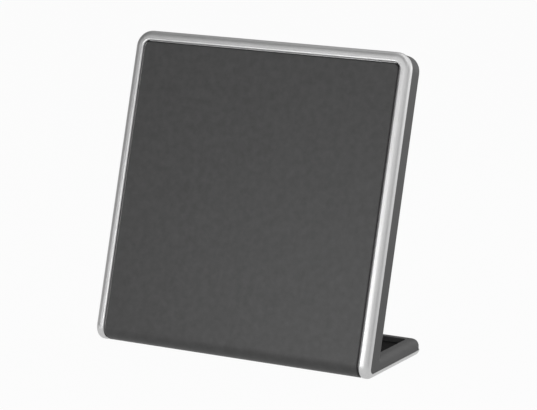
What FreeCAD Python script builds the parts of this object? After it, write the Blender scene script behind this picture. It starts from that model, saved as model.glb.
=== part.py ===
import FreeCAD, Part
import Sketcher
import math
import os

# Tabletop television antenna: a square panel that leans back on a fixed foot.
# Millimetres, X to the right seen from the front, Y to the back, Z up.
# The origin is on the table, under the middle of the outline.

sizes = {
    # Overall form
    "overall_width": 180.0,
    "overall_depth": 68.7,
    "slant_height": 175.2,
    "lean_angle": 16.4,
    "roll_radius": 7.7,
    "body_depth": 15.8,
    # Silver frame
    "band_width": 6.0,
    "band_round": 3.6,
    "frame_depth": 4.6,
    "corner_radius": 10.0,
    "foot_corner_radius": 5.4,
    "base_thickness": 3.3,
    "strip_bend": 3.0,
    "ledge_width": 2.0,
    "window_corner": 2.0,
    "lip_round": 1.1,
    "tail_corner": 1.5,
    # Front panel
    "panel_thickness": 1.8,
    "panel_recess": 0.2,
    "panel_gap": 1.0,
    "panel_return": 3.0,
    "panel_corner": 4.0,
    "panel_edge_round": 0.5,
    "hook_spread": 50.0,
    "hook_width": 16.0,
    "hook_thickness": 1.2,
    "hook_reach": 3.0,
    # Rear cover
    "cover_inset": 0.4,
    "cover_wall": 1.8,
    "cover_round": 1.8,
    "cover_inner_round": 1.0,
    "foot_height": 9.5,
    "foot_round": 4.0,
    "foot_cove": 3.0,
    "tongue_spare": 0.6,
    # Well in the foot, its tray and the weight under it
    "rim_width": 7.0,
    "well_depth": 2.8,
    "well_skirt": 1.4,
    "well_land": 1.0,
    "well_corner": 2.0,
    "tray_thickness": 1.2,
    "tray_gap": 0.15,
    "ledge_thickness": 1.5,
    "tray_ledge": 3.0,
    "tray_post_radius": 3.0,
    "ballast_margin": 1.5,
    "ballast_gap": 0.1,
    # Rubber feet
    "pad_height": 0.6,
    "pad_radius": 5.0,
    "pad_seat": 1.0,
    "pad_inset": 11.0,
    "pad_front": 8.0,
    "pad_gap": 0.1,
    # Screws
    "screw_radius": 1.1,
    "screw_gap": 0.05,
    "head_radius": 2.2,
    "head_height": 1.3,
    "head_gap": 0.3,
    "head_sink": 0.2,
    "cross_reach": 1.3,
    "cross_width": 0.7,
    "cross_depth": 0.7,
    "base_screw_inset": 24.0,
    "base_screw_margin": 8.0,
    "base_screw_length": 3.6,
    "cover_screw_inset": 13.0,
    "cover_screw_low": 30.0,
    "cover_screw_margin": 25.3,
    "cover_screw_length": 5.6,
    "cover_screw_web": 2.0,
    "panel_boss_length": 6.0,
    "boss_radius": 3.6,
    "small_screw_length": 5.0,
    "post_radius": 2.4,
    # Amplifier board
    "board_width": 72.0,
    "board_low": 16.0,
    "board_high": 60.0,
    "board_thickness": 1.6,
    "board_depth": 5.0,
    "board_screw_inset": 4.0,
    "shield_width": 44.0,
    "shield_height": 5.0,
    "shield_low": 41.0,
    "shield_high": 57.0,
    "sheet_thickness": 0.4,
    "chip_width": 5.0,
    "chip_height": 4.0,
    "chip_thickness": 1.4,
    "coil_spread": 11.0,
    "coil_radius": 3.0,
    "coil_core_radius": 1.5,
    "coil_thickness": 2.0,
    "capacitor_x": 30.0,
    "capacitor_v": 38.0,
    "capacitor_radius": 2.5,
    "capacitor_height": 5.4,
    "balun_width": 9.0,
    "balun_height": 6.0,
    "balun_thickness": 4.5,
    "balun_bore": 1.2,
    # Radiators
    "radiator_inner": 8.0,
    "radiator_inset": 20.0,
    "radiator_gap": 6.0,
    "radiator_margin": 13.3,
    "radiator_strip": 13.0,
    "radiator_corner": 6.0,
    "feed_width": 8.0,
    "feed_overlap": 5.0,
    # Sockets in the back
    "socket_x": 20.0,
    "socket_v": 30.0,
    "socket_gap": 0.25,
    "thread_radius": 4.7625,
    "thread_length": 11.5,
    "thread_relief": 0.4,
    "thread_chamfer": 0.4,
    "shoulder_radius": 6.2,
    "insulator_radius": 3.4,
    "socket_floor": 1.4,
    "insulator_sink": 0.2,
    "insulator_floor": 1.0,
    "tail_hole_radius": 1.2,
    "contact_radius": 0.85,
    "contact_bore": 0.55,
    "contact_bore_depth": 9.0,
    "contact_tail_radius": 0.45,
    "fit_gap": 0.05,
    "cut_overrun": 2.0,
    "washer_radius": 7.4,
    "washer_thickness": 0.7,
    "nut_across_flats": 11.1,
    "nut_thickness": 2.4,
    "jack_width": 10.0,
    "jack_nose_radius": 4.6,
    "jack_nose_proud": 0.4,
    "jack_bore_radius": 3.1,
    "jack_floor": 1.2,
    "jack_pin_radius": 1.0,
    "jack_pin_sink": 0.8,
    "leaf_width": 2.4,
    "leaf_length": 5.0,
}

doc = FreeCAD.newDocument("TabletopAntenna")
sheet = doc.addObject("Spreadsheet::Sheet", "Sizes")
for row, (alias, number) in enumerate(sizes.items(), 1):
    sheet.set(f"A{row}", alias)
    sheet.set(f"B{row}", str(number))
    sheet.setAlias(f"B{row}", alias)
doc.recompute()


class Size:
    # A length or angle with the sheet formula that gives it.
    def __init__(self, number, formula):
        self.number = number
        self.formula = formula

    def __add__(self, other):
        other = as_size(other)
        return Size(self.number + other.number, f"({self.formula} + {other.formula})")

    def __sub__(self, other):
        other = as_size(other)
        return Size(self.number - other.number, f"({self.formula} - {other.formula})")

    def __mul__(self, other):
        other = as_size(other)
        return Size(self.number * other.number, f"({self.formula} * {other.formula})")

    def __truediv__(self, other):
        other = as_size(other)
        return Size(self.number / other.number, f"({self.formula} / {other.formula})")

    def __neg__(self):
        return Size(-self.number, f"(0 - {self.formula})")


def as_size(value):
    return value if isinstance(value, Size) else Size(float(value), repr(float(value)))


def size(alias):
    return Size(sizes[alias], f"Sizes.{alias}")


def sine(angle):
    return Size(math.sin(math.radians(angle.number)), f"sin({angle.formula})")


def cosine(angle):
    return Size(math.cos(math.radians(angle.number)), f"cos({angle.formula})")


def tangent(angle):
    return Size(math.tan(math.radians(angle.number)), f"tan({angle.formula})")


def bind(thing, name, value):
    thing.setExpression(name, as_size(value).formula)


# Places that many pieces share

zero = Size(0.0, "0")
quarter_turn = Size(90.0, "90")
half_turn = Size(180.0, "180")
outside = size("cut_overrun")
lean = size("lean_angle")
lean_sine = sine(lean)
lean_cosine = cosine(lean)
half_width = size("overall_width") / 2
front_y = -size("overall_depth") / 2
back_y = size("overall_depth") / 2
base_under = size("pad_height")
base_top = base_under + size("base_thickness")
roll_y = front_y + size("roll_radius")
roll_z = base_under + size("roll_radius")
start_y = roll_y - size("roll_radius") * lean_cosine
start_z = roll_z + size("roll_radius") * lean_sine
panel_back = size("panel_recess") + size("panel_thickness")
cover_half_width = half_width - size("cover_inset")
cover_top = size("slant_height") - size("cover_inset")
cover_end = back_y - size("cover_inset")
cover_inside = size("body_depth") - size("cover_wall")
foot_top = base_under + size("foot_height")
window_y = roll_y + size("panel_return") + size("panel_gap")
bend_reach = tangent((quarter_turn - lean) / 2)


def slant(up, depth):
    # The point that lies this far up the front face and this far behind it, as Y and Z.
    along = start_y + up * lean_sine + depth * lean_cosine
    above = start_z + up * lean_cosine - depth * lean_sine
    return along, above


def height_on_slant(level, depth):
    # How far up the slant a plane at this depth reaches a given level.
    return (level - start_z + depth * lean_sine) / lean_cosine


# Helpers for sketches and features


def new_body(label, leaning=False):
    body = doc.addObject("PartDesign::Body", label)
    body.Label = label
    if leaning:
        lean_back(body, zero, zero, zero)
    return body


def lean_back(thing, across, up, depth):
    # Local X runs across, local Y up the slant and local Z out of the front.
    along, above = slant(up, depth)
    thing.Placement = FreeCAD.Placement(
        FreeCAD.Vector(across.number, along.number, above.number),
        FreeCAD.Rotation(FreeCAD.Vector(1, 0, 0), 90 - lean.number),
    )
    bind(thing, "Placement.Base.x", across)
    bind(thing, "Placement.Base.y", along)
    bind(thing, "Placement.Base.z", above)
    bind(thing, "Placement.Rotation.Angle", quarter_turn - lean)


def new_sketch(body, role, name, lift=None):
    sketch = body.newObject("Sketcher::SketchObject", name)
    plane = next(part for part in body.Origin.OriginFeatures if part.Role == role)
    sketch.AttachmentSupport = [(plane, "")]
    sketch.MapMode = "FlatFace"
    if lift is not None:
        sketch.AttachmentOffset = FreeCAD.Placement(
            FreeCAD.Vector(0, 0, as_size(lift).number), FreeCAD.Rotation()
        )
        bind(sketch, "AttachmentOffset.Base.z", lift)
    return sketch


def hold(sketch, kind, places, value):
    if value.number == 0:
        axis = -2 if kind == "DistanceX" else -1
        sketch.addConstraint(Sketcher.Constraint("PointOnObject", places[2], places[3], axis))
        return
    index = sketch.addConstraint(Sketcher.Constraint(kind, *places, value.number))
    bind(sketch, f"Constraints[{index}]", value)


def add_outline(sketch, corners):
    # A corner is (x, y) before a straight side, or (x, y, radius, turn) before an arc.
    points = [(as_size(corner[0]), as_size(corner[1])) for corner in corners]
    first = sketch.GeometryCount
    starts = []
    ends = []
    for index, corner in enumerate(corners):
        here = FreeCAD.Vector(points[index][0].number, points[index][1].number, 0)
        after = points[(index + 1) % len(points)]
        there = FreeCAD.Vector(after[0].number, after[1].number, 0)
        if len(corner) == 2:
            number = sketch.addGeometry(Part.LineSegment(here, there), False)
            starts.append((number, 1))
            ends.append((number, 2))
            continue
        radius, turn = corner[2], corner[3]
        chord = there - here
        side = FreeCAD.Vector(-chord.y, chord.x, 0).normalize()
        rise = math.sqrt(max(radius.number ** 2 - (chord.Length / 2) ** 2, 0.0))
        centre = (here + there) * 0.5 + side * (rise * turn)
        begin, finish = (here, there) if turn > 0 else (there, here)
        circle = Part.Circle(centre, FreeCAD.Vector(0, 0, 1), radius.number)
        from_angle = math.atan2(begin.y - centre.y, begin.x - centre.x)
        to_angle = math.atan2(finish.y - centre.y, finish.x - centre.x)
        number = sketch.addGeometry(Part.ArcOfCircle(circle, from_angle, to_angle), False)
        starts.append((number, 1 if turn > 0 else 2))
        ends.append((number, 2 if turn > 0 else 1))
    for index, corner in enumerate(corners):
        start = starts[index]
        sketch.addConstraint(Sketcher.Constraint("Coincident", *ends[index - 1], *start))
        hold(sketch, "DistanceX", (-1, 1, *start), points[index][0])
        hold(sketch, "DistanceY", (-1, 1, *start), points[index][1])
        if len(corner) == 4:
            hold(sketch, "Radius", (first + index,), corner[2])


def add_rectangle(sketch, left, low, right, high):
    add_outline(sketch, [(left, low), (right, low), (right, high), (left, high)])


def add_circle(sketch, across, up, radius):
    centre = FreeCAD.Vector(across.number, up.number, 0)
    number = sketch.addGeometry(Part.Circle(centre, FreeCAD.Vector(0, 0, 1), radius.number), False)
    hold(sketch, "DistanceX", (-1, 1, number, 3), across)
    hold(sketch, "DistanceY", (-1, 1, number, 3), up)
    hold(sketch, "Radius", (number,), radius)


def pad(body, sketch, length, symmetric=False, backwards=False):
    feature = body.newObject("PartDesign::Pad", sketch.Name + "Pad")
    feature.Profile = sketch
    feature.SideType = "Symmetric" if symmetric else "One side"
    feature.Reversed = backwards
    bind(feature, "Length", length)
    doc.recompute()
    return feature


def pocket(body, sketch, length, backwards=False):
    before = body.Shape.Volume
    feature = body.newObject("PartDesign::Pocket", sketch.Name + "Pocket")
    feature.Profile = sketch
    feature.Reversed = backwards
    bind(feature, "Length", length)
    doc.recompute()
    if body.Shape.Volume >= before:
        raise RuntimeError(f"{feature.Name} cuts nothing")
    return feature


def fillet(body, name, radius, wanted):
    # Rounds the edges whose two ends satisfy the test.
    base = body.Tip
    names = [
        f"Edge{number}"
        for number, edge in enumerate(base.Shape.Edges, 1)
        if wanted(edge.Vertexes[0].Point, edge.Vertexes[-1].Point)
    ]
    feature = body.newObject("PartDesign::Fillet", name)
    feature.Base = (base, names)
    bind(feature, "Radius", radius)
    doc.recompute()
    return feature


def near(one, two):
    return abs(one - two) < 0.01


def finish(label, thing):
    thing.Label = label
    nodes.append(thing)
    return thing


def combine(kind, name, things):
    result = doc.addObject(kind, name)
    result.Shapes = things
    return result


def fuse(name, things):
    return combine("Part::MultiFuse", name, things)


def cut(name, base, tools):
    result = doc.addObject("Part::Cut", name)
    result.Base = base
    result.Tool = tools[0] if len(tools) == 1 else fuse(name + "Tools", tools)
    return result


def common(name, one, two):
    result = doc.addObject("Part::Common", name)
    result.Base = one
    result.Tool = two
    return result


def group(name, things):
    result = doc.addObject("Part::Compound", name)
    result.Links = things
    return result


def upright_cylinder(name, across, along, low, high, radius):
    rod = doc.addObject("Part::Cylinder", name)
    bind(rod, "Radius", radius)
    bind(rod, "Height", high - low)
    bind(rod, "Placement.Base.x", across)
    bind(rod, "Placement.Base.y", along)
    bind(rod, "Placement.Base.z", low)
    return rod


def leaning_cylinder(name, across, up, front, back, radius):
    rod = doc.addObject("Part::Cylinder", name)
    bind(rod, "Radius", radius)
    bind(rod, "Height", back - front)
    lean_back(rod, across, up, back)
    return rod


def leaning_box(name, left, low, front, width, height, depth):
    block = doc.addObject("Part::Box", name)
    bind(block, "Length", width)
    bind(block, "Width", height)
    bind(block, "Height", depth)
    lean_back(block, left, low, front + depth)
    return block


def revolve(body, name, corners):
    # Corners are (radius, height) about the body's own Z axis.
    sketch = new_sketch(body, "XZ_Plane", name)
    add_outline(sketch, corners)
    feature = body.newObject("PartDesign::Revolution", name + "Turn")
    feature.Profile = sketch
    feature.ReferenceAxis = (sketch, ["V_Axis"])
    feature.Angle = 360
    doc.recompute()
    return feature


def up_of(point):
    return (point.y - start_y.number) * lean_sine.number + (point.z - start_z.number) * lean_cosine.number


def depth_of(point):
    return (point.y - start_y.number) * lean_cosine.number - (point.z - start_z.number) * lean_sine.number


def bent_strip(body, name, outer, inner, top, tail, width):
    # A strip down the front face, round the roll and back under the foot, between two depths.
    sketch = new_sketch(body, "YZ_Plane", name)
    outline = [
        slant(top, outer),
        (*slant(zero, outer), size("roll_radius") - outer, 1),
        (roll_y, base_under + outer),
        (tail, base_under + outer),
        (tail, base_under + inner),
        (roll_y, base_under + inner, size("roll_radius") - inner, -1),
        slant(zero, inner),
        slant(top, inner),
    ]
    add_outline(sketch, outline)
    return pad(body, sketch, width, symmetric=True)


def round_top_corners(body, name, half, top, radius):
    def at_corner(one, two):
        sides = near(abs(one.x), half.number) and near(one.x, two.x)
        return sides and near(up_of(one), top.number) and near(up_of(two), top.number)

    return fillet(body, name, radius, at_corner)


def round_along_top(body, name, depth, top, radius):
    # The chosen edge runs on into the sides, so the whole rim is rounded.
    def on_rim(one, two):
        level = near(up_of(one), top.number) and near(up_of(two), top.number)
        return level and near(depth_of(one), depth.number) and near(depth_of(two), depth.number)

    return fillet(body, name, radius, on_rim)


def round_back_corners(body, name, half, back, radius):
    def at_corner(one, two):
        sides = near(abs(one.x), half.number) and near(one.x, two.x)
        return sides and near(one.y, back.number) and near(two.y, back.number)

    return fillet(body, name, radius, at_corner)


def round_along_back(body, name, back, level, radius):
    def on_rim(one, two):
        high = near(one.z, level.number) and near(two.z, level.number)
        return high and near(one.y, back.number) and near(two.y, back.number)

    return fillet(body, name, radius, on_rim)


nodes = []
sides = {"Left": -1, "Right": 1}

# Where screws, pads and sockets stand

strip_up = height_on_slant(base_top, size("frame_depth"))
strip_run = size("strip_bend") / bend_reach
strip_y = slant(strip_up, size("frame_depth"))[0]
cove_up = height_on_slant(foot_top, size("body_depth"))
cove_run = size("foot_cove") / bend_reach
cove_y = slant(cove_up, size("body_depth"))[0]
well_half = half_width - size("rim_width")
well_back = back_y - size("rim_width")
well_front = cove_y + cove_run + size("well_land")
tray_top = foot_top - size("well_depth")
tray_under = tray_top - size("tray_thickness")
ledge_under = tray_under - size("ledge_thickness")
opening_half = well_half - size("tray_ledge")
opening_front = well_front + size("tray_ledge")
opening_back = well_back - size("tray_ledge")
board_back = size("board_depth") + size("board_thickness")
boss_end = panel_back + size("panel_boss_length")
cover_screw_seat = boss_end + size("cover_screw_web")
base_screw_seat = base_under + size("head_sink") + size("head_height")
hole_radius = size("screw_radius") + size("screw_gap")
recess_radius = size("head_radius") + size("head_gap")
socket_mouth = size("body_depth") + size("thread_length")
socket_floor = board_back + size("socket_floor")
jack_x = -size("socket_x")
jack_mouth = size("body_depth") + size("jack_nose_proud")
feed_low = size("board_high") - size("feed_overlap")
radiator_middle = size("radiator_strip") / 2
radiator_low = size("board_high") + size("radiator_gap")
radiator_high = size("slant_height") - size("radiator_margin")
radiator_outer = half_width - size("radiator_inset")

base_screw_sites = {}
pad_sites = {}
cover_screw_sites = {}
board_screw_sites = {}
radiator_screw_sites = {}
for side, sign in sides.items():
    base_x = (half_width - size("base_screw_inset")) * sign
    base_screw_sites[side + "Front"] = (base_x, opening_front + size("base_screw_margin"))
    base_screw_sites[side + "Back"] = (base_x, opening_back - size("base_screw_margin"))
    pad_x = (half_width - size("pad_inset")) * sign
    pad_sites[side + "Front"] = (pad_x, window_y + size("pad_front"))
    pad_sites[side + "Back"] = (pad_x, back_y - size("pad_inset"))
    cover_x = (half_width - size("cover_screw_inset")) * sign
    cover_screw_sites[side + "Low"] = (cover_x, size("cover_screw_low"))
    cover_screw_sites[side + "High"] = (cover_x, size("slant_height") - size("cover_screw_margin"))
    board_x = (size("board_width") / 2 - size("board_screw_inset")) * sign
    board_screw_sites[side + "Low"] = (board_x, size("board_low") + size("board_screw_inset"))
    board_screw_sites[side + "High"] = (board_x, size("board_high") - size("board_screw_inset"))
    inner_x = (size("radiator_inner") + radiator_middle) * sign
    outer_x = (radiator_outer - radiator_middle) * sign
    high_v = radiator_high - radiator_middle
    low_v = radiator_low + radiator_middle
    radiator_screw_sites[side + "Inner"] = (inner_x, high_v)
    radiator_screw_sites[side + "High"] = (outer_x, high_v)
    radiator_screw_sites[side + "Low"] = (outer_x, low_v)

# Silver frame: a bent plate with a rounded rim, a window for the panel and a base plate

frame_plate = new_body("FramePlate")
bent_strip(
    frame_plate, "FrameSide", zero, size("frame_depth"), size("slant_height"), back_y, size("overall_width")
)
round_top_corners(frame_plate, "FrameTopCorners", half_width, size("slant_height"), size("corner_radius"))
round_back_corners(frame_plate, "FrameBackCorners", half_width, back_y, size("foot_corner_radius"))
round_along_top(frame_plate, "FrameRim", zero, size("slant_height"), size("band_round"))

panel_top = size("slant_height") - size("band_width")
panel_half = half_width - size("band_width")
panel_space = new_body("PanelSpace")
bent_strip(panel_space, "PanelSpaceSide", -outside, panel_back, panel_top, window_y, panel_half * 2)
round_top_corners(panel_space, "PanelSpaceCorners", panel_half, panel_top, size("panel_corner"))
round_back_corners(panel_space, "PanelSpaceTail", panel_half, window_y, size("tail_corner"))

window_top = panel_top - size("ledge_width")
window_half = panel_half - size("ledge_width")
window_depth = size("frame_depth") + outside
window_space = new_body("WindowSpace")
window_sketch = new_sketch(window_space, "YZ_Plane", "WindowSide")
window_outline = [
    slant(window_top, -outside),
    slant(zero, -outside),
    (front_y - outside, base_under - outside),
    (window_y, base_under - outside),
    (window_y, roll_z),
    slant(size("roll_radius"), window_depth),
    slant(window_top, window_depth),
]
add_outline(window_sketch, window_outline)
pad(window_space, window_sketch, window_half * 2, symmetric=True)
round_top_corners(window_space, "WindowCorners", window_half, window_top, size("window_corner"))

base_space = new_body("BaseSpace")
base_sketch = new_sketch(base_space, "YZ_Plane", "BaseSpaceSide")
base_space_up = strip_up + strip_run + outside
base_outline = [
    (back_y + outside, base_top),
    (strip_y + strip_run, base_top, size("strip_bend"), -1),
    slant(strip_up + strip_run, size("frame_depth")),
    slant(base_space_up, size("frame_depth")),
    (back_y + outside, slant(base_space_up, size("frame_depth"))[1]),
]
add_outline(base_sketch, base_outline)
pad(base_space, base_sketch, size("overall_width") + outside, symmetric=True)

frame_cuts = [panel_space, window_space, base_space]
for site, (across, along) in pad_sites.items():
    seat_radius = size("pad_radius") + size("pad_gap")
    seat_top = base_under + size("pad_seat")
    frame_cuts.append(
        upright_cylinder("PadSeat" + site, across, along, base_under - outside, seat_top, seat_radius)
    )
for site, (across, along) in base_screw_sites.items():
    frame_cuts.append(
        upright_cylinder("BaseHole" + site, across, along, base_under, base_top + outside, hole_radius)
    )
    recess_start = base_under - outside
    frame_cuts.append(
        upright_cylinder("BaseRecess" + site, across, along, recess_start, base_screw_seat, recess_radius)
    )
frame_shape = cut("FrameShape", frame_plate, frame_cuts)
frame_lip = new_body("SilverFrame")
frame_lip.BaseFeature = frame_shape
doc.recompute()
round_along_top(frame_lip, "FrameLip", zero, panel_top, size("lip_round"))
finish("silver_frame", frame_lip)

# Front panel: a skin that rolls under, with screw bosses and hooks behind it

skin = new_body("PanelSkin")
skin_top = panel_top - size("panel_gap")
skin_half = panel_half - size("panel_gap")
skin_tail = window_y - size("panel_gap")
bent_strip(skin, "SkinSide", size("panel_recess"), panel_back, skin_top, skin_tail, skin_half * 2)
round_top_corners(skin, "SkinCorners", skin_half, skin_top, size("panel_corner") - size("panel_gap"))
round_along_top(skin, "SkinEdge", size("panel_recess"), skin_top, size("panel_edge_round"))

panel_pieces = [skin]
panel_holes = []
boss_root = size("panel_recess") + size("panel_thickness") / 2
for site, (across, up) in cover_screw_sites.items():
    panel_pieces.append(
        leaning_cylinder("PanelBoss" + site, across, up, boss_root, boss_end, size("boss_radius"))
    )
    panel_holes.append(
        leaning_cylinder("PanelPilot" + site, across, up, panel_back, boss_end + outside, hole_radius)
    )
for place in (-1, 0, 1):
    hook = new_body(f"PanelHook{place + 2}")
    hook_sketch = new_sketch(hook, "YZ_Plane", f"HookSide{place + 2}")
    hook_root = base_under + panel_back - size("panel_thickness") / 2
    hook_top = base_top + size("hook_thickness")
    hook_outline = [
        (roll_y, hook_root),
        (skin_tail, hook_root),
        (skin_tail, base_top),
        (window_y + size("hook_reach"), base_top),
        (window_y + size("hook_reach"), hook_top),
        (roll_y, hook_top),
    ]
    add_outline(hook_sketch, hook_outline)
    pad(hook, hook_sketch, size("hook_width"), symmetric=True)
    bind(hook, "Placement.Base.x", size("hook_spread") * place)
    panel_pieces.append(hook)
finish("front_panel", cut("FrontPanel", fuse("PanelPieces", panel_pieces), panel_holes))

# Rear cover: one shell over the back of the panel and the foot

cover_back = new_body("CoverBack")
cover_sketch = new_sketch(cover_back, "YZ_Plane", "CoverBackSide")
cover_outline = [
    slant(cover_top, size("frame_depth")),
    (*slant(strip_up + strip_run, size("frame_depth")), size("strip_bend"), 1),
    (strip_y + strip_run, base_top),
    slant(height_on_slant(base_top, size("body_depth")), size("body_depth")),
    slant(cover_top, size("body_depth")),
]
add_outline(cover_sketch, cover_outline)
pad(cover_back, cover_sketch, cover_half_width * 2, symmetric=True)
cover_corner = size("corner_radius") - size("cover_inset")
round_top_corners(cover_back, "CoverCorners", cover_half_width, cover_top, cover_corner)
round_along_top(cover_back, "CoverRim", size("body_depth"), cover_top, size("cover_round"))

middle_depth = (size("frame_depth") + size("body_depth")) / 2
middle_y = slant(height_on_slant(base_top, middle_depth), middle_depth)[0]
cove_end = cove_up + cove_run + size("foot_cove")
tongue_depth = size("body_depth") - size("foot_round") - size("tongue_spare")
cover_foot = new_body("CoverFoot")
foot_sketch = new_sketch(cover_foot, "YZ_Plane", "CoverFootSide")
foot_outline = [
    (cover_end, base_top),
    (cover_end, foot_top),
    (cove_y + cove_run, foot_top, size("foot_cove"), -1),
    slant(cove_up + cove_run, size("body_depth")),
    slant(cove_end, size("body_depth")),
    slant(cove_end, tongue_depth),
    slant(height_on_slant(base_top, tongue_depth), tongue_depth),
]
add_outline(foot_sketch, foot_outline)
pad(cover_foot, foot_sketch, cover_half_width * 2, symmetric=True)
foot_corner = size("foot_corner_radius") - size("cover_inset")
round_back_corners(cover_foot, "FootCorners", cover_half_width, cover_end, foot_corner)
round_along_back(cover_foot, "FootRim", cover_end, foot_top, size("foot_round"))

inner_half = cover_half_width - size("cover_wall")
inner_top = cover_top - size("cover_wall")
inner_front = size("frame_depth") - outside
inner_low = base_top - outside
back_cavity = new_body("BackCavity")
cavity_sketch = new_sketch(back_cavity, "YZ_Plane", "BackCavitySide")
cavity_outline = [
    slant(inner_top, inner_front),
    slant(height_on_slant(inner_low, inner_front), inner_front),
    slant(height_on_slant(inner_low, cover_inside), cover_inside),
    slant(inner_top, cover_inside),
]
add_outline(cavity_sketch, cavity_outline)
pad(back_cavity, cavity_sketch, inner_half * 2, symmetric=True)
cavity_corner = cover_corner - size("cover_wall")
round_top_corners(back_cavity, "BackCavityCorners", inner_half, inner_top, cavity_corner)
round_along_top(back_cavity, "BackCavityRim", cover_inside, inner_top, size("cover_inner_round"))

inner_end = cover_end - size("cover_wall")
inner_roof = foot_top - size("cover_wall")
foot_cavity = new_body("FootCavity")
foot_cavity_sketch = new_sketch(foot_cavity, "YZ_Plane", "FootCavitySide")
foot_cavity_outline = [
    (inner_end, inner_low),
    (inner_end, inner_roof),
    (middle_y, inner_roof),
    (middle_y, inner_low),
]
add_outline(foot_cavity_sketch, foot_cavity_outline)
pad(foot_cavity, foot_cavity_sketch, inner_half * 2, symmetric=True)
inner_corner = foot_corner - size("cover_wall")
inner_round = size("foot_round") - size("cover_wall")
round_back_corners(foot_cavity, "FootCavityCorners", inner_half, inner_end, inner_corner)
round_along_back(foot_cavity, "FootCavityRim", inner_end, inner_roof, inner_round)


def rounded_block(name, left, front, right, back, low, high, radius):
    body = new_body(name)
    sketch = new_sketch(body, "XY_Plane", name + "Plan", low)
    add_rectangle(sketch, left, front, right, back)
    pad(body, sketch, high - low)
    fillet(body, name + "Corners", radius, lambda one, two: not near(one.z, two.z))
    return body


skirt_half = well_half + size("well_skirt")
skirt_front = well_front - size("well_skirt")
skirt_back = well_back + size("well_skirt")
skirt_corner = size("well_corner") + size("well_skirt")
wall_middle = size("cover_wall") / 2
well_block = rounded_block(
    "WellBlock",
    -skirt_half,
    skirt_front,
    skirt_half,
    skirt_back,
    ledge_under,
    foot_top - wall_middle,
    skirt_corner,
)
well_space = rounded_block(
    "WellSpace",
    -well_half,
    well_front,
    well_half,
    well_back,
    tray_under,
    foot_top + outside,
    size("well_corner"),
)
well_opening = rounded_block(
    "WellOpening",
    -opening_half,
    opening_front,
    opening_half,
    opening_back,
    ledge_under - outside,
    tray_under + outside,
    size("well_corner"),
)

cover_posts = [well_block]
cover_holes = [well_space, well_opening]
post_root = size("body_depth") - wall_middle
sheet_seat = size("board_depth")
pilot_end = sheet_seat + size("small_screw_length") + size("head_sink")
for site, (across, up) in cover_screw_sites.items():
    cover_posts.append(
        leaning_cylinder("CoverTube" + site, across, up, boss_end, post_root, size("boss_radius"))
    )
    cover_holes.append(
        leaning_cylinder("CoverHole" + site, across, up, boss_end - outside, cover_screw_seat, hole_radius)
    )
    recess_end = size("body_depth") + outside
    cover_holes.append(
        leaning_cylinder("CoverRecess" + site, across, up, cover_screw_seat, recess_end, recess_radius)
    )
for site, (across, up) in board_screw_sites.items():
    cover_posts.append(
        leaning_cylinder("BoardPost" + site, across, up, board_back, post_root, size("post_radius"))
    )
    cover_holes.append(
        leaning_cylinder("BoardPilot" + site, across, up, inner_front, pilot_end, hole_radius)
    )
for site, (across, up) in radiator_screw_sites.items():
    cover_posts.append(
        leaning_cylinder("RadiatorPost" + site, across, up, sheet_seat, post_root, size("post_radius"))
    )
    cover_holes.append(
        leaning_cylinder("RadiatorPilot" + site, across, up, inner_front, pilot_end, hole_radius)
    )
socket_hole_radius = size("thread_radius") + size("socket_gap")
jack_hole_radius = size("jack_nose_radius") + size("socket_gap")
hole_end = size("body_depth") + outside
socket_up = size("socket_v")
cover_holes.append(
    leaning_cylinder("SocketHole", size("socket_x"), socket_up, inner_front, hole_end, socket_hole_radius)
)
cover_holes.append(
    leaning_cylinder("JackHole", jack_x, socket_up, inner_front, hole_end, jack_hole_radius)
)

cover_outer = fuse("CoverOuter", [cover_back, cover_foot])
cover_cavity = fuse("CoverCavity", [back_cavity, foot_cavity])
cover_shell = cut("CoverShell", cover_outer, [cover_cavity])
cover_inner_posts = common("CoverInnerPosts", fuse("CoverPosts", cover_posts), cover_outer)
cover_whole = fuse("CoverWhole", [cover_shell, cover_inner_posts])
finish("rear_cover", cut("RearCover", cover_whole, cover_holes))

# Foot tray and the steel weight under it

tray_gap = size("tray_gap")
tray_plate = rounded_block(
    "TrayPlate",
    -(well_half - tray_gap),
    well_front + tray_gap,
    well_half - tray_gap,
    well_back - tray_gap,
    tray_under,
    tray_top,
    size("well_corner") - tray_gap,
)
tray_pieces = [tray_plate]
tray_holes = []
tray_middle = tray_top - size("tray_thickness") / 2
for site, (across, along) in base_screw_sites.items():
    tray_pieces.append(
        upright_cylinder("TrayPost" + site, across, along, base_top, tray_middle, size("tray_post_radius"))
    )
    tray_holes.append(
        upright_cylinder("TrayPilot" + site, across, along, base_top - outside, tray_middle, hole_radius)
    )
finish("foot_tray", cut("FootTray", fuse("TrayPieces", tray_pieces), tray_holes))

ballast_plate = new_body("BallastPlate")
ballast_sketch = new_sketch(ballast_plate, "XY_Plane", "BallastPlan", base_top)
ballast_half = opening_half - size("ballast_margin")
add_rectangle(
    ballast_sketch,
    -ballast_half,
    opening_front + size("ballast_margin"),
    ballast_half,
    opening_back - size("ballast_margin"),
)
for across, along in base_screw_sites.values():
    add_circle(ballast_sketch, across, along, size("tray_post_radius") + size("head_gap"))
pad(ballast_plate, ballast_sketch, tray_under - size("ballast_gap") - base_top)
finish("ballast_plate", ballast_plate)

# Rubber feet

pads = []
pad_top = base_under + size("pad_seat")
for site, (across, along) in pad_sites.items():
    pads.append(upright_cylinder("Pad" + site, across, along, zero, pad_top, size("pad_radius")))
finish("rubber_feet", group("RubberFeet", pads))

# Radiators: two sheet-metal loops with a feed leg on the board

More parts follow.
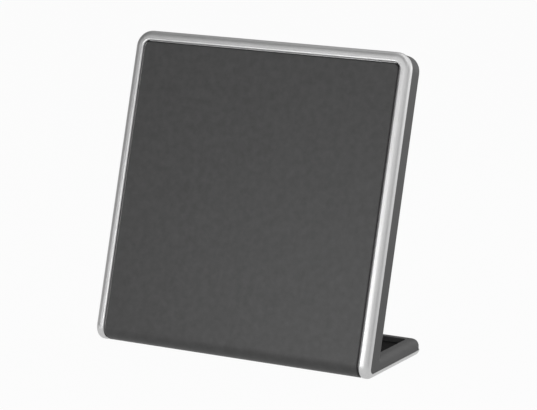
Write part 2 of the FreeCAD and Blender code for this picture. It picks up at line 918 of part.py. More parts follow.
for side, sign in sides.items():
    radiator = new_body(side + "Radiator", leaning=True)
    radiator_sketch = new_sketch(radiator, "XY_Plane", side + "Loop", -size("board_depth"))
    inner_edge = size("radiator_inner") * sign
    outer_edge = radiator_outer * sign
    feed_edge = (size("radiator_inner") + size("feed_width")) * sign
    hole_inner = (size("radiator_inner") + size("radiator_strip")) * sign
    hole_outer = (radiator_outer - size("radiator_strip")) * sign
    loop_outline = [
        (inner_edge, feed_low),
        (feed_edge, feed_low),
        (feed_edge, radiator_low),
        (outer_edge, radiator_low),
        (outer_edge, radiator_high),
        (inner_edge, radiator_high),
    ]
    add_outline(radiator_sketch, loop_outline)
    loop_low = radiator_low + size("radiator_strip")
    loop_high = radiator_high - size("radiator_strip")
    add_rectangle(radiator_sketch, hole_inner, loop_low, hole_outer, loop_high)
    for site, (across, up) in radiator_screw_sites.items():
        if site.startswith(side):
            add_circle(radiator_sketch, across, up, hole_radius)
    pad(radiator, radiator_sketch, size("sheet_thickness"))
    round_edge = outer_edge.number

    def outer_corner(one, two):
        through = near(one.x, two.x) and near(one.y, two.y)
        return through and near(one.x, round_edge)

    fillet(radiator, side + "LoopCorners", size("radiator_corner"), outer_corner)
    finish(side.lower() + "_radiator", radiator)

# Amplifier board and what it carries

board = new_body("AmplifierBoard", leaning=True)
board_sketch = new_sketch(board, "XY_Plane", "BoardPlan", -board_back)
board_half = size("board_width") / 2
add_rectangle(board_sketch, -board_half, size("board_low"), board_half, size("board_high"))
for across, up in board_screw_sites.values():
    add_circle(board_sketch, across, up, hole_radius)
add_circle(board_sketch, size("socket_x"), size("socket_v"), size("contact_tail_radius") + size("fit_gap"))
pad(board, board_sketch, size("board_thickness"))
finish("amplifier_board", board)

shield_half = size("shield_width") / 2
shield_rise = size("shield_high") - size("shield_low")
sheet_wall = size("sheet_thickness")
shield_outer = leaning_box(
    "ShieldOuter",
    -shield_half,
    size("shield_low"),
    board_back,
    size("shield_width"),
    shield_rise,
    size("shield_height"),
)
shield_inner = leaning_box(
    "ShieldInner",
    sheet_wall - shield_half,
    size("shield_low") + sheet_wall,
    board_back - outside,
    size("shield_width") - sheet_wall * 2,
    shield_rise - sheet_wall * 2,
    size("shield_height") - sheet_wall + outside,
)
finish("shield_can", cut("ShieldCan", shield_outer, [shield_inner]))

shield_v = (size("shield_low") + size("shield_high")) / 2
chip = leaning_box(
    "Chip",
    -size("chip_width") / 2,
    shield_v - size("chip_height") / 2,
    board_back,
    size("chip_width"),
    size("chip_height"),
    size("chip_thickness"),
)
finish("amplifier_chip", chip)

coils = []
for side, sign in sides.items():
    coil_x = size("coil_spread") * sign
    coil_end = board_back + size("coil_thickness")
    coil_body = leaning_cylinder("Coil" + side, coil_x, shield_v, board_back, coil_end, size("coil_radius"))
    eye_start = board_back - outside
    eye_end = coil_end + outside
    coil_eye = leaning_cylinder(
        "CoilEye" + side, coil_x, shield_v, eye_start, eye_end, size("coil_core_radius")
    )
    coils.append(cut("CoilRing" + side, coil_body, [coil_eye]))
finish("tuning_coils", group("TuningCoils", coils))

capacitor_end = board_back + size("capacitor_height")
capacitor = leaning_cylinder(
    "Capacitor",
    -size("capacitor_x"),
    size("capacitor_v"),
    board_back,
    capacitor_end,
    size("capacitor_radius"),
)
finish("smoothing_capacitor", capacitor)

balun = new_body("BalunCore")
lean_back(balun, zero, size("socket_v"), zero)
balun_sketch = new_sketch(balun, "XZ_Plane", "BalunEnd")
balun_half = size("balun_width") / 2
balun_back = board_back + size("balun_thickness")
add_rectangle(balun_sketch, -balun_half, -balun_back, balun_half, -board_back)
for sign in sides.values():
    balun_middle = board_back + size("balun_thickness") / 2
    add_circle(balun_sketch, size("balun_width") / 4 * sign, -balun_middle, size("balun_bore"))
pad(balun, balun_sketch, size("balun_height"), symmetric=True)
finish("balun_core", balun)

# Coaxial socket, turned about its own axis, with its washer and nut behind the cover


def socket_piece(name, corners):
    body = new_body(name)
    lean_back(body, size("socket_x"), size("socket_v"), zero)
    revolve(body, name + "Half", [(radius, -depth) for radius, depth in corners])
    return body


bore_radius = size("insulator_radius")
relief_radius = size("thread_radius") - size("thread_relief")
washer_end = size("body_depth") + size("washer_thickness")
nut_end = washer_end + size("nut_thickness")
socket_corners = [
    (size("tail_hole_radius"), board_back),
    (size("shoulder_radius"), board_back),
    (size("shoulder_radius"), cover_inside),
    (relief_radius, cover_inside),
    (relief_radius, nut_end + size("socket_gap")),
    (size("thread_radius"), nut_end + size("socket_gap")),
    (size("thread_radius"), socket_mouth - size("thread_chamfer")),
    (size("thread_radius") - size("thread_chamfer"), socket_mouth),
    (bore_radius, socket_mouth),
    (bore_radius, socket_floor),
    (size("tail_hole_radius"), socket_floor),
]
finish("coax_socket_body", socket_piece("SocketBody", socket_corners))

insulator_end = socket_mouth - size("insulator_sink")
contact_step = socket_floor + size("insulator_floor")
insulator_corners = [
    (size("contact_tail_radius") + size("fit_gap"), socket_floor),
    (bore_radius - size("fit_gap"), socket_floor),
    (bore_radius - size("fit_gap"), insulator_end),
    (size("contact_radius") + size("fit_gap"), insulator_end),
    (size("contact_radius") + size("fit_gap"), contact_step),
    (size("contact_tail_radius") + size("fit_gap"), contact_step),
]
finish("coax_socket_insulator", socket_piece("SocketInsulator", insulator_corners))

contact_end = insulator_end - size("insulator_sink")
tail_end = size("board_depth") - size("sheet_thickness")
contact_bore_end = contact_end - size("contact_bore_depth")
contact_corners = [
    (zero, tail_end),
    (size("contact_tail_radius"), tail_end),
    (size("contact_tail_radius"), contact_step),
    (size("contact_radius"), contact_step),
    (size("contact_radius"), contact_end),
    (size("contact_bore"), contact_end),
    (size("contact_bore"), contact_bore_end),
    (zero, contact_bore_end),
]
finish("coax_socket_contact", socket_piece("SocketContact", contact_corners))

washer_bore = size("thread_radius") + size("fit_gap")
washer_corners = [
    (washer_bore, size("body_depth")),
    (size("washer_radius"), size("body_depth")),
    (size("washer_radius"), washer_end),
    (washer_bore, washer_end),
]
finish("coax_socket_washer", socket_piece("SocketWasher", washer_corners))

nut = new_body("SocketNut")
lean_back(nut, size("socket_x"), size("socket_v"), zero)
nut_sketch = new_sketch(nut, "XY_Plane", "NutHexagon", -nut_end)
nut_corner = size("nut_across_flats") / cosine(Size(30.0, "30")) / 2
hexagon = []
for corner in range(6):
    turn = Size(30.0 + 60.0 * corner, str(30 + 60 * corner))
    hexagon.append((nut_corner * cosine(turn), nut_corner * sine(turn)))
add_outline(nut_sketch, hexagon)
add_circle(nut_sketch, zero, zero, relief_radius + size("fit_gap"))
pad(nut, nut_sketch, size("nut_thickness"))
finish("coax_socket_nut", nut)

# Power jack: housing with a round nose, centre pin and leaf contact

jack_half = size("jack_width") / 2
jack_block = leaning_box(
    "JackBlock",
    jack_x - jack_half,
    size("socket_v") - jack_half,
    board_back,
    size("jack_width"),
    size("jack_width"),
    cover_inside - board_back,
)
jack_nose = leaning_cylinder(
    "JackNose", jack_x, size("socket_v"), cover_inside - wall_middle, jack_mouth, size("jack_nose_radius")
)
jack_floor = board_back + size("jack_floor")
jack_bore = leaning_cylinder(
    "JackBore", jack_x, size("socket_v"), jack_floor, jack_mouth + outside, size("jack_bore_radius")
)
pin_hole = leaning_cylinder(
    "JackPinHole",
    jack_x,
    size("socket_v"),
    board_back - outside,
    jack_floor + outside,
    size("jack_pin_radius") + size("fit_gap"),
)
leaf_left = jack_x + size("jack_bore_radius")
leaf_low = size("socket_v") - size("leaf_width") / 2
leaf_slot = leaning_box(
    "JackLeafSlot",
    leaf_left - size("sheet_thickness"),
    leaf_low - size("fit_gap"),
    board_back - outside,
    size("sheet_thickness") * 2 + size("fit_gap"),
    size("leaf_width") + size("fit_gap") * 2,
    size("leaf_length") + size("fit_gap") + outside,
)
jack_solid = fuse("JackSolid", [jack_block, jack_nose])
finish("dc_jack_housing", cut("JackHousing", jack_solid, [jack_bore, pin_hole, leaf_slot]))

pin_end = jack_mouth - size("jack_pin_sink")
jack_pin = leaning_cylinder("JackPin", jack_x, socket_up, board_back, pin_end, size("jack_pin_radius"))
finish("dc_jack_pin", jack_pin)

leaf = leaning_box(
    "JackLeaf",
    leaf_left,
    leaf_low,
    board_back,
    size("sheet_thickness"),
    size("leaf_width"),
    size("leaf_length"),
)
finish("dc_jack_contact", leaf)

# Screws: a pan head with a cross recess, modelled with the seat at height zero


def new_screw(name, length):
    body = new_body(name)
    corners = [
        (zero, -length),
        (size("screw_radius"), -length),
        (size("screw_radius"), zero),
        (size("head_radius"), zero),
        (size("head_radius"), size("head_height") / 2),
        (size("head_radius") - size("head_height") / 2, size("head_height")),
        (zero, size("head_height")),
    ]
    revolve(body, name + "Half", corners)
    cross = new_sketch(body, "XY_Plane", name + "Cross", size("head_height"))
    arm = size("cross_reach")
    half = size("cross_width") / 2
    cross_outline = [
        (half, half),
        (half, arm),
        (-half, arm),
        (-half, half),
        (-arm, half),
        (-arm, -half),
        (-half, -half),
        (-half, -arm),
        (half, -arm),
        (half, -half),
        (arm, -half),
        (arm, half),
    ]
    add_outline(cross, cross_outline)
    pocket(body, cross, size("cross_depth"))
    return body


def turn_over(body, angle):
    # Points the head to the back or down instead of out of the front.
    body.Placement.Rotation = FreeCAD.Rotation(FreeCAD.Vector(1, 0, 0), angle.number)
    bind(body, "Placement.Rotation.Angle", angle)


cover_screws = []
for site, (across, up) in cover_screw_sites.items():
    screw = new_screw("CoverScrew" + site, size("cover_screw_length"))
    lean_back(screw, across, up, cover_screw_seat)
    turn_over(screw, quarter_turn + half_turn - lean)
    cover_screws.append(screw)
finish("cover_screws", group("CoverScrews", cover_screws))

base_screws = []
for site, (across, along) in base_screw_sites.items():
    screw = new_screw("BaseScrew" + site, size("base_screw_length"))
    bind(screw, "Placement.Base.x", across)
    bind(screw, "Placement.Base.y", along)
    bind(screw, "Placement.Base.z", base_screw_seat)
    turn_over(screw, half_turn)
    base_screws.append(screw)
finish("base_screws", group("BaseScrews", base_screws))

board_screws = []
for site, (across, up) in board_screw_sites.items():
    screw = new_screw("BoardScrew" + site, size("small_screw_length"))
    lean_back(screw, across, up, size("board_depth"))
    board_screws.append(screw)
finish("board_screws", group("BoardScrews", board_screws))

radiator_screws = []
for site, (across, up) in radiator_screw_sites.items():
    screw = new_screw("RadiatorScrew" + site, size("small_screw_length"))
    lean_back(screw, across, up, size("board_depth") - size("sheet_thickness"))
    radiator_screws.append(screw)
finish("radiator_screws", group("RadiatorScrews", radiator_screws))

# Test every object, then write one file for each piece

doc.recompute()
failed = [thing.Name for thing in doc.Objects if {"Invalid", "Error"} & set(thing.State)]
if failed:
    raise RuntimeError("failed: " + ", ".join(failed))
for node in nodes:
    if node.Shape.isNull() or not node.Shape.isValid() or not node.Shape.Solids:
        raise RuntimeError("no valid solid: " + node.Label)
os.makedirs("parts", exist_ok=True)
for node in nodes:
    node.Shape.exportStep(f"parts/{node.Label}.step")
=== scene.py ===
import math

import bmesh
import bpy
from mathutils import Matrix, Vector


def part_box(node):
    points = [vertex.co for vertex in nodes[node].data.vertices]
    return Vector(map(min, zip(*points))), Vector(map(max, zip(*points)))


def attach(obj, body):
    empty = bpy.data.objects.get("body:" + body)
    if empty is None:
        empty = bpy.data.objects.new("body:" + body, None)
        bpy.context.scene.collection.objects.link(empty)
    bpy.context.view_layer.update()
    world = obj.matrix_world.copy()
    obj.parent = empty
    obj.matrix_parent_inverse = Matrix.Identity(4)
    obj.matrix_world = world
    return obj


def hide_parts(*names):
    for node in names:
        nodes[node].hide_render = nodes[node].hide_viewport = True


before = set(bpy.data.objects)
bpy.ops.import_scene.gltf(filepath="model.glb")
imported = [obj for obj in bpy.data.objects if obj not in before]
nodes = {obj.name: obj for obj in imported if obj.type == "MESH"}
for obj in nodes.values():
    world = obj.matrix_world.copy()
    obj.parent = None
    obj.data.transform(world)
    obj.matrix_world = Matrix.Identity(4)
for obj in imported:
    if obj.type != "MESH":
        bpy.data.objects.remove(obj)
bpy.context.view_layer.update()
millimetre = 0.001
print("frame loaded:", len(nodes), "nodes")


def linear(hexColour):
    # sRGB hex to the linear values that the shaders take
    channels = [int(hexColour[i:i + 2], 16) / 255 for i in (1, 3, 5)]
    return [c / 12.92 if c <= 0.04045 else ((c + 0.055) / 1.055) ** 2.4 for c in channels] + [1.0]


def addNode(tree, kind, values=None, links=None, **settings):
    node = tree.nodes.new(kind)
    for name, value in settings.items():
        setattr(node, name, value)
    for socket, value in (values or {}).items():
        node.inputs[socket].default_value = value
    for socket, source in (links or {}).items():
        tree.links.new(source, node.inputs[socket])
    return node


def startMaterial(name, shader):
    # an empty material with its output, its shader and the object's own coordinates
    material = bpy.data.materials.new(name)
    material.use_nodes = True
    tree = material.node_tree
    tree.nodes.clear()
    surface = addNode(tree, "ShaderNodeBsdfPrincipled", shader)
    addNode(tree, "ShaderNodeOutputMaterial", links={"Surface": surface.outputs[0]})
    place = addNode(tree, "ShaderNodeTexCoord").outputs["Object"]
    return material, tree, surface, place


def perMetre(sizeMm):
    # texture scale for a pattern that repeats every sizeMm
    return 1 / (sizeMm * millimetre)


waveTurn = 2 * math.pi / 20  # a wave texture at scale 1 goes through 20 radians in a metre
grainLook = {
    "cloudDetail": 3.0,
    "grainDetail": 2.0,
    "noiseLow": 0.3,  # nearly all of a noise texture's values lie between these two
    "noiseHigh": 0.7,
    "bumpStrength": 0.5,
}


def dress(material, *names):
    for name in names:
        nodes[name].data.materials.clear()
        nodes[name].data.materials.append(material)


def grainedMaterial(finish):
    # two close tones in soft clouds, and one fine grain that both roughens and dimples the surface
    material, tree, surface, place = startMaterial(finish["name"], finish["shader"])
    stretch = finish.get("stretch", (1, 1, 1))
    turned = addNode(tree, "ShaderNodeMapping", {"Scale": stretch}, {"Vector": place})
    clouds = addNode(
        tree, "ShaderNodeTexNoise",
        {"Scale": perMetre(finish["cloudMm"]), "Detail": grainLook["cloudDetail"]},
        {"Vector": turned.outputs[0]},
    )
    tones = addNode(
        tree, "ShaderNodeMix", {"A": linear(finish["dark"]), "B": linear(finish["light"])},
        {"Factor": clouds.outputs["Fac"]}, data_type="RGBA",
    )
    grain = addNode(
        tree, "ShaderNodeTexNoise",
        {"Scale": perMetre(finish["grainMm"]), "Detail": grainLook["grainDetail"]},
        {"Vector": turned.outputs[0]},
    )
    gloss = addNode(
        tree, "ShaderNodeMapRange",
        {
            "From Min": grainLook["noiseLow"], "From Max": grainLook["noiseHigh"],
            "To Min": finish["smooth"], "To Max": finish["rough"],
        },
        {"Value": grain.outputs["Fac"]},
    )
    bump = addNode(
        tree, "ShaderNodeBump",
        {"Strength": grainLook["bumpStrength"], "Distance": finish["grainDepth"] * millimetre},
        {"Height": grain.outputs["Fac"]},
    )
    tree.links.new(tones.outputs["Result"], surface.inputs["Base Color"])
    tree.links.new(gloss.outputs[0], surface.inputs["Roughness"])
    tree.links.new(bump.outputs[0], surface.inputs["Normal"])
    return material


# spark-eroded ABS, moulded: dark grey, matt and faintly mottled, with a fine grain that breaks up the sheen
panelFinish = {
    "name": "sparkErodedAbs",
    "shader": {"Specular IOR Level": 0.36},
    "dark": "#353535",
    "light": "#4b4b4b",
    "smooth": 0.42,
    "rough": 0.48,
    "grainMm": 0.9,  # the real grain is about 0.1 mm, drawn coarser so that it shows
    "grainDepth": 0.05,
    "cloudMm": 4.0,
}
panelAbs = grainedMaterial(panelFinish)
dress(panelAbs, "front_panel")

# satin ABS, moulded in a finer tool: a lighter grey with a soft sheen along its edges
coverFinish = {
    "name": "satinAbs",
    "shader": {"Specular IOR Level": 0.08},
    "dark": "#606060",
    "light": "#676767",
    "smooth": 0.42,
    "rough": 0.48,
    "grainMm": 0.7,  # the real grain is about 0.06 mm, drawn coarser so that it shows
    "grainDepth": 0.02,
    "cloudMm": 45.0,
}
coverAbs = grainedMaterial(coverFinish)
dress(coverAbs, "rear_cover")

# black ABS, moulded with a leather-like grain: deep and dull; its near-black is partly painted shade, so
# that the well reads as a shadow
trayFinish = {
    "name": "blackAbsAndPaintedShade",
    "shader": {"Specular IOR Level": 0.15},
    "dark": "#101010",
    "light": "#181818",
    "smooth": 0.75,
    "rough": 0.9,
    "grainMm": 1.1,
    "grainDepth": 0.08,
    "cloudMm": 18.0,
}
trayAbsAndShade = grainedMaterial(trayFinish)
dress(trayAbsAndShade, "foot_tray")

# aluminium-flake lacquer, sprayed on dark ABS from the front: pale silver, its gloss broken by flakes that
# each lean a little; deep in the gap beside the panel it turns to a painted shade, so that the gap stays a
# dark line
frameFinish = {
    "silver": "#cacaca",
    "shade": "#c1c1c1",
    "silverSmooth": 0.4,
    "silverRough": 0.5,
    "flakeMm": 0.45,  # real flakes are about 0.03 mm, drawn coarser so that they show
    "flakeDepth": 0.012,
    "flakeBump": 0.4,
    "peelMm": 3.5,
    "peelDepth": 0.01,
    "peelBump": 0.4,
    # painted shade: the dark grey given to the gap's walls beside the panel
    "gapShade": "#333333",
    "gapShadeSpecular": 0.2,
    "bandFoot": (0.0, -0.0340367, 0.010474),  # where the front of the band starts, and how it leans
    "bandLean": 16.4,
    "gapSide": 83.0,  # bounds of the gap in mm: to each side, up the band and into it
    "gapTop": 168.9,
    "gapFloor": 5.0,
    "gapShadeFrom": 0.6,  # where the painted shade in the gap starts and where it is full, in mm into the gap
    "gapShadeFull": 1.2,
}
silverLacquer, tree, surface, place = startMaterial(
    "flakeLacquer", {"Specular IOR Level": frameFinish["gapShadeSpecular"]}
)
flakes = addNode(
    tree, "ShaderNodeTexVoronoi", {"Scale": perMetre(frameFinish["flakeMm"])}, {"Vector": place}
)
tones = addNode(
    tree, "ShaderNodeMix", {"A": linear(frameFinish["shade"]), "B": linear(frameFinish["silver"])},
    {"Factor": flakes.outputs["Color"]}, data_type="RGBA",
)
leaned = addNode(
    tree, "ShaderNodeMapping",
    {"Location": frameFinish["bandFoot"], "Rotation": (-math.radians(frameFinish["bandLean"]), 0, 0)},
    {"Vector": place}, vector_type="TEXTURE",
)
axes = addNode(tree, "ShaderNodeSeparateXYZ", None, {0: leaned.outputs[0]})
aside = addNode(tree, "ShaderNodeMath", None, {0: axes.outputs["X"]}, operation="ABSOLUTE")
# painted shade: the share of dark grey grows with depth into the gap and is kept within the gap's bounds
gapShadeShare = addNode(
    tree, "ShaderNodeMapRange",
    {"From Min": frameFinish["gapShadeFrom"] * millimetre, "From Max": frameFinish["gapShadeFull"] * millimetre},
    {"Value": axes.outputs["Y"]},
)
for measure, limit in (
    (aside.outputs[0], "gapSide"), (axes.outputs["Z"], "gapTop"), (axes.outputs["Y"], "gapFloor"),
):
    inGap = addNode(
        tree, "ShaderNodeMath", {1: frameFinish[limit] * millimetre}, {0: measure}, operation="LESS_THAN"
    )
    gapShadeShare = addNode(
        tree, "ShaderNodeMath", None, {0: gapShadeShare.outputs[0], 1: inGap.outputs[0]}, operation="MULTIPLY"
    )
silverShare = addNode(tree, "ShaderNodeMath", {0: 1.0}, {1: gapShadeShare.outputs[0]}, operation="SUBTRACT")
tones = addNode(
    tree, "ShaderNodeMix", {"B": linear(frameFinish["gapShade"])},
    {"Factor": gapShadeShare.outputs[0], "A": tones.outputs["Result"]}, data_type="RGBA",
)
tree.links.new(silverShare.outputs[0], surface.inputs["Metallic"])
gloss = addNode(
    tree, "ShaderNodeMapRange",
    {"To Min": frameFinish["silverSmooth"], "To Max": frameFinish["silverRough"]},
    {"Value": flakes.outputs["Color"]},
)
flakeBump = addNode(
    tree, "ShaderNodeBump",
    {"Strength": frameFinish["flakeBump"], "Distance": frameFinish["flakeDepth"] * millimetre},
    {"Height": flakes.outputs["Color"]},
)
peel = addNode(tree, "ShaderNodeTexNoise", {"Scale": perMetre(frameFinish["peelMm"])}, {"Vector": place})
peelBump = addNode(
    tree, "ShaderNodeBump",
    {"Strength": frameFinish["peelBump"], "Distance": frameFinish["peelDepth"] * millimetre},
    {"Height": peel.outputs["Fac"], "Normal": flakeBump.outputs[0]},
)
tree.links.new(tones.outputs["Result"], surface.inputs["Base Color"])
tree.links.new(gloss.outputs[0], surface.inputs["Roughness"])
tree.links.new(peelBump.outputs[0], surface.inputs["Normal"])
dress(silverLacquer, "silver_frame")

# black nitrile rubber, pressed: dull and a little dusty, with no sheen of its own
padFinish = {
    "name": "pressedRubber",
    "shader": {"Specular IOR Level": 0.3},
    "dark": "#171717",
    "light": "#242423",
    "smooth": 0.78,
    "rough": 0.95,
    "grainMm": 0.5,
    "grainDepth": 0.03,
    "cloudMm": 4.0,
}
padRubber = grainedMaterial(padFinish)

# nickel plate on turned brass: bright and slightly warm, with faint rings from the lathe
nickelFinish = {
    "name": "nickelPlate",
    "shader": {"Metallic": 1.0},
    "dark": "#b3afa6",
    "light": "#c6c2b9",
    "smooth": 0.16,
    "rough": 0.3,
    "stretch": (0.3, 1.0, 1.0),
    "grainMm": 0.25,
    "grainDepth": 0.004,
    "cloudMm": 3.0,
}
nickelPlate = grainedMaterial(nickelFinish)
dress(nickelPlate, "dc_jack_pin")

# zinc plate on steel, passivated: a cool grey with a faint blue bloom in patches
zincFinish = {
    "name": "zincPlate",
    "shader": {"Metallic": 1.0},
    "dark": "#8f959c",
    "light": "#aab0b6",
    "smooth": 0.28,
    "rough": 0.42,
    "grainMm": 0.3,
    "grainDepth": 0.006,
    "cloudMm": 1.6,
}
zincPlate = grainedMaterial(zincFinish)
dress(zincPlate, "cover_screws", "base_screws", "board_screws", "radiator_screws")

# phosphor bronze, stamped and flashed with gold: warm and bright, with fine rolling lines
bronzeFinish = {
    "name": "goldFlashedBronze",
    "shader": {"Metallic": 1.0},
    "dark": "#b58c4a",
    "light": "#cfa865",
    "smooth": 0.2,
    "rough": 0.32,
    "stretch": (1.0, 0.2, 0.2),
    "grainMm": 0.2,
    "grainDepth": 0.003,
    "cloudMm": 2.0,
}
contactBronze = grainedMaterial(bronzeFinish)
dress(contactBronze, "coax_socket_contact", "dc_jack_contact")

# polyethylene, moulded: milky white, with light that goes a little way in
insulatorFinish = {
    "name": "milkyPolyethylene",
    "shader": {"Subsurface Weight": 0.15, "Subsurface Radius": (0.0012, 0.0012, 0.001), "IOR": 1.51},
    "dark": "#dcdad2",
    "light": "#e6e4dd",
    "smooth": 0.38,
    "rough": 0.5,
    "grainMm": 0.4,
    "grainDepth": 0.006,
    "cloudMm": 3.0,
}
milkyInsulator = grainedMaterial(insulatorFinish)
dress(milkyInsulator, "coax_socket_insulator")

# glass-filled PBT, moulded: black with a slight grey bloom from the fibres near its skin
jackFinish = {
    "name": "glassFilledPbt",
    "shader": {"IOR": 1.55},
    "dark": "#161617",
    "light": "#202021",
    "smooth": 0.4,
    "rough": 0.58,
    "grainMm": 0.35,
    "grainDepth": 0.012,
    "cloudMm": 2.5,
}
jackPlastic = grainedMaterial(jackFinish)
dress(jackPlastic, "dc_jack_housing")

# cold-rolled steel, oiled: dark bright metal with long streaks from the mill
ballastFinish = {
    "name": "coldRolledSteel",
    "shader": {"Metallic": 1.0},
    "dark": "#6f7072",
    "light": "#85868a",
    "smooth": 0.3,
    "rough": 0.5,
    "stretch": (0.05, 1.0, 1.0),
    "grainMm": 0.6,
    "grainDepth": 0.006,
    "cloudMm": 6.0,
}
ballastSteel = grainedMaterial(ballastFinish)
dress(ballastSteel, "ballast_plate")

# epoxy moulding compound: near black, matt, with the faint speckle of its silica filler
chipFinish = {
    "name": "epoxyCompound",
    "shader": {"Specular IOR Level": 0.4},
    "dark": "#1a1a1b",
    "light": "#262627",
    "smooth": 0.6,
    "rough": 0.75,
    "grainMm": 0.12,
    "grainDepth": 0.006,
    "cloudMm": 0.5,
}
chipEpoxy = grainedMaterial(chipFinish)
dress(chipEpoxy, "amplifier_chip")

# drawn aluminium can in a shrunk sleeve: dark blue, smooth, with a soft plastic shine
canFinish = {
    "name": "shrunkPvcSleeve",
    "shader": {"IOR": 1.53},
    "dark": "#1c2740",
    "light": "#24314f",
    "smooth": 0.25,
    "rough": 0.38,
    "grainMm": 0.5,
    "grainDepth": 0.008,
    "cloudMm": 3.0,
}
canSleeve = grainedMaterial(canFinish)
dress(canSleeve, "smoothing_capacitor")

# manganese-zinc ferrite, sintered and tumbled: charcoal, fine-pored, with a dull metallic hint
ferriteFinish = {
    "name": "sinteredFerrite",
    "shader": {"Metallic": 0.2},
    "dark": "#232427",
    "light": "#323337",
    "smooth": 0.5,
    "rough": 0.7,
    "grainMm": 0.2,
    "grainDepth": 0.015,
    "cloudMm": 1.5,
}
ferrite = grainedMaterial(ferriteFinish)
dress(ferrite, "balun_core")

# tinplate, hot dipped: bright grey sheet whose crystals catch the light in patches
tinFinish = {
    "dark": "#a3a6a8",
    "light": "#c3c6c8",
    "crystalMm": 5.0,
    "smooth": 0.24,
    "rough": 0.4,
}
tinplate, tree, surface, place = startMaterial("hotDippedTinplate", {"Metallic": 1.0})
crystals = addNode(
    tree, "ShaderNodeTexVoronoi", {"Scale": perMetre(tinFinish["crystalMm"])}, {"Vector": place}
)
tones = addNode(
    tree, "ShaderNodeMix", {"A": linear(tinFinish["dark"]), "B": linear(tinFinish["light"])},
    {"Factor": crystals.outputs["Color"]}, data_type="RGBA",
)
gloss = addNode(
    tree, "ShaderNodeMapRange", {"To Min": tinFinish["smooth"], "To Max": tinFinish["rough"]},
    {"Value": crystals.outputs["Color"]},
)
tree.links.new(tones.outputs["Result"], surface.inputs["Base Color"])
tree.links.new(gloss.outputs[0], surface.inputs["Roughness"])
dress(tinplate, "left_radiator", "right_radiator", "shield_can")

# glass-epoxy laminate under green solder mask: a clear varnish over a faint square weave
boardFinish = {
    "valley": "#0f3d24",
    "thread": "#18512f",
    "threadMm": 0.45,
    "roughness": 0.28,
    "weaveDepth": 0.01,
    "weaveBump": 0.4,
}
laminate, tree, surface, place = startMaterial("solderMaskLaminate", {"Roughness": boardFinish["roughness"]})
across, along = (
    addNode(
        tree, "ShaderNodeTexWave", {"Scale": perMetre(boardFinish["threadMm"]) * waveTurn},
        {"Vector": place}, bands_direction=direction,
    )
    for direction in ("X", "Z")
)
weave = addNode(
    tree, "ShaderNodeMath", None, {0: across.outputs["Fac"], 1: along.outputs["Fac"]}, operation="MULTIPLY"
)
tones = addNode(
    tree, "ShaderNodeMix", {"A": linear(boardFinish["valley"]), "B": linear(boardFinish["thread"])},
    {"Factor": weave.outputs[0]}, data_type="RGBA",
)
bump = addNode(
    tree, "ShaderNodeBump",
    {"Strength": boardFinish["weaveBump"], "Distance": boardFinish["weaveDepth"] * millimetre},
    {"Height": weave.outputs[0]},
)
tree.links.new(tones.outputs["Result"], surface.inputs["Base Color"])
tree.links.new(bump.outputs[0], surface.inputs["Normal"])
dress(laminate, "amplifier_board")

# enamelled copper wire, wound side by side: red-brown and glossy, with a groove between the turns;
# painted shade darkens each groove and a painted highlight lightens each crown
coilFinish = {
    "grooveShade": "#6e2f16",
    "crownHighlight": "#b4602f",
    "wireMm": 0.4,
    "metallic": 0.85,
    "roughness": 0.3,
    "grooveDepth": 0.08,
    "grooveBump": 0.6,
}
enamelWire, tree, surface, place = startMaterial(
    "enamelledCopper", {"Metallic": coilFinish["metallic"], "Roughness": coilFinish["roughness"]}
)
turns = addNode(
    tree, "ShaderNodeTexWave", {"Scale": perMetre(coilFinish["wireMm"]) * waveTurn}, {"Vector": place},
    bands_direction="X",
)
# painted shade in the grooves between the turns, painted highlight on their crowns
tones = addNode(
    tree, "ShaderNodeMix", {"A": linear(coilFinish["grooveShade"]), "B": linear(coilFinish["crownHighlight"])},
    {"Factor": turns.outputs["Fac"]}, data_type="RGBA",
)
bump = addNode(
    tree, "ShaderNodeBump",
    {"Strength": coilFinish["grooveBump"], "Distance": coilFinish["grooveDepth"] * millimetre},
    {"Height": turns.outputs["Fac"]},
)
tree.links.new(tones.outputs["Result"], surface.inputs["Base Color"])
tree.links.new(bump.outputs[0], surface.inputs["Normal"])
dress(enamelWire, "tuning_coils")
print("materials made")

# how the meshes below are joined up and shaded, in millimetres and degrees
meshing = {
    "merge": 0.002,
    "sameHeight": 0.003,
    "samePlace": 0.001,
    "cut": 0.0005,
    "sharpAngle": 32,
}


def turnProfile(mesh, profile, steps):
    # spins a run of (radius, height) points once about Z
    points = [mesh.verts.new((radius, 0, height)) for radius, height in profile]
    edges = [mesh.edges.new(pair) for pair in zip(points, points[1:])]
    bmesh.ops.spin(
        mesh, geom=points + edges, cent=(0, 0, 0), axis=(0, 0, 1), angle=2 * math.pi, steps=steps,
        use_merge=True,
    )
    bmesh.ops.remove_doubles(mesh, verts=mesh.verts[:], dist=meshing["merge"])


def rimAt(mesh, height):
    # the open edges that lie at this height
    return [
        edge for edge in mesh.edges
        if edge.is_boundary and all(abs(vert.co.z - height) < meshing["sameHeight"] for vert in edge.verts)
    ]


def addPiece(name, mesh, material, node, place):
    # turns a mesh in millimetres into a piece that stands where its node is
    bmesh.ops.recalc_face_normals(mesh, faces=mesh.faces[:])
    bmesh.ops.transform(mesh, matrix=place @ Matrix.Scale(millimetre, 4), verts=mesh.verts[:])
    data = bpy.data.meshes.new(name)
    mesh.to_mesh(data)
    mesh.free()
    data.shade_smooth()
    data.set_sharp_from_angle(angle=math.radians(meshing["sharpAngle"]))
    data.materials.append(material)
    piece = bpy.data.objects.new(name, data)
    bpy.context.scene.collection.objects.link(piece)
    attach(piece, "root")
    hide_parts(node)


